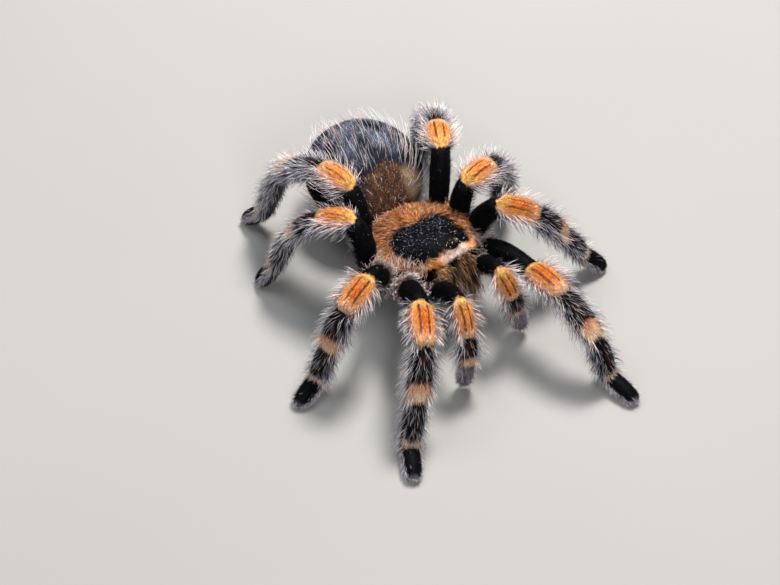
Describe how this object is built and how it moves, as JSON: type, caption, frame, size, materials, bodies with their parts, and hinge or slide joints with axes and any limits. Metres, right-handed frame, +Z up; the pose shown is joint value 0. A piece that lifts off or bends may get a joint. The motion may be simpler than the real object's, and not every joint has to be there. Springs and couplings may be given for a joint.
{
  "type": "red knee tarantula",
  "caption": "Life-size still model of a standing red knee tarantula, black and furred, with orange knees, an orange-rimmed carapace and a bristly abdomen.",
  "frame": {"origin": "middle of the footprint, on the floor the feet stand on", "axes": "+Z up, the head faces -Y, the spider's left side is towards +X"},
  "size_m": [0.0772, 0.0954, 0.0299],
  "materials": {
    "body_coat": "short dark fur with longer pale bristles",
    "femur_velvet": "black velvet of very short hairs",
    "knee_coat": "orange short fur with a pale rim and pale fringes",
    "limb_coat": "black fur with long grey-white hairs and pale bands",
    "jaw_coat": "brown-black fur with golden streaks",
    "fang_shell": "polished black horn",
    "eye_lens": "glossy dark lens"
  },
  "bodies": {
    "root": {"carapace": "body_coat", "sternum": "body_coat", "eye_mound": "eye_lens", "chelicera_left": "jaw_coat", "chelicera_right": "jaw_coat", "fang_left": "fang_shell", "fang_right": "fang_shell", "abdomen": "body_coat", "spinneret_left": "limb_coat", "spinneret_right": "limb_coat", "leg1_left_femur": "femur_velvet", "leg1_left_patella": "knee_coat", "leg1_left_tibia": "limb_coat", "leg1_left_metatarsus": "limb_coat", "leg1_left_tarsus": "limb_coat", "leg1_right_femur": "femur_velvet", "leg1_right_patella": "knee_coat", "leg1_right_tibia": "limb_coat", "leg1_right_metatarsus": "limb_coat", "leg1_right_tarsus": "limb_coat", "leg2_left_femur": "femur_velvet", "leg2_left_patella": "knee_coat", "leg2_left_tibia": "limb_coat", "leg2_left_metatarsus": "limb_coat", "leg2_left_tarsus": "limb_coat", "leg2_right_femur": "femur_velvet", "leg2_right_patella": "knee_coat", "leg2_right_tibia": "limb_coat", "leg2_right_metatarsus": "limb_coat", "leg2_right_tarsus": "limb_coat", "leg3_left_femur": "femur_velvet", "leg3_left_patella": "knee_coat", "leg3_left_tibia": "limb_coat", "leg3_left_metatarsus": "limb_coat", "leg3_left_tarsus": "limb_coat", "leg3_right_femur": "femur_velvet", "leg3_right_patella": "knee_coat", "leg3_right_tibia": "limb_coat", "leg3_right_metatarsus": "limb_coat", "leg3_right_tarsus": "limb_coat", "leg4_left_femur": "femur_velvet", "leg4_left_patella": "knee_coat", "leg4_left_tibia": "limb_coat", "leg4_left_metatarsus": "limb_coat", "leg4_left_tarsus": "limb_coat", "leg4_right_femur": "femur_velvet", "leg4_right_patella": "knee_coat", "leg4_right_tibia": "limb_coat", "leg4_right_metatarsus": "limb_coat", "leg4_right_tarsus": "limb_coat", "palp_left_femur": "femur_velvet", "palp_left_patella": "knee_coat", "palp_left_tibia": "limb_coat", "palp_left_tarsus": "limb_coat", "palp_right_femur": "femur_velvet", "palp_right_patella": "knee_coat", "palp_right_tibia": "limb_coat", "palp_right_tarsus": "limb_coat"}
  },
  "joints": []
}
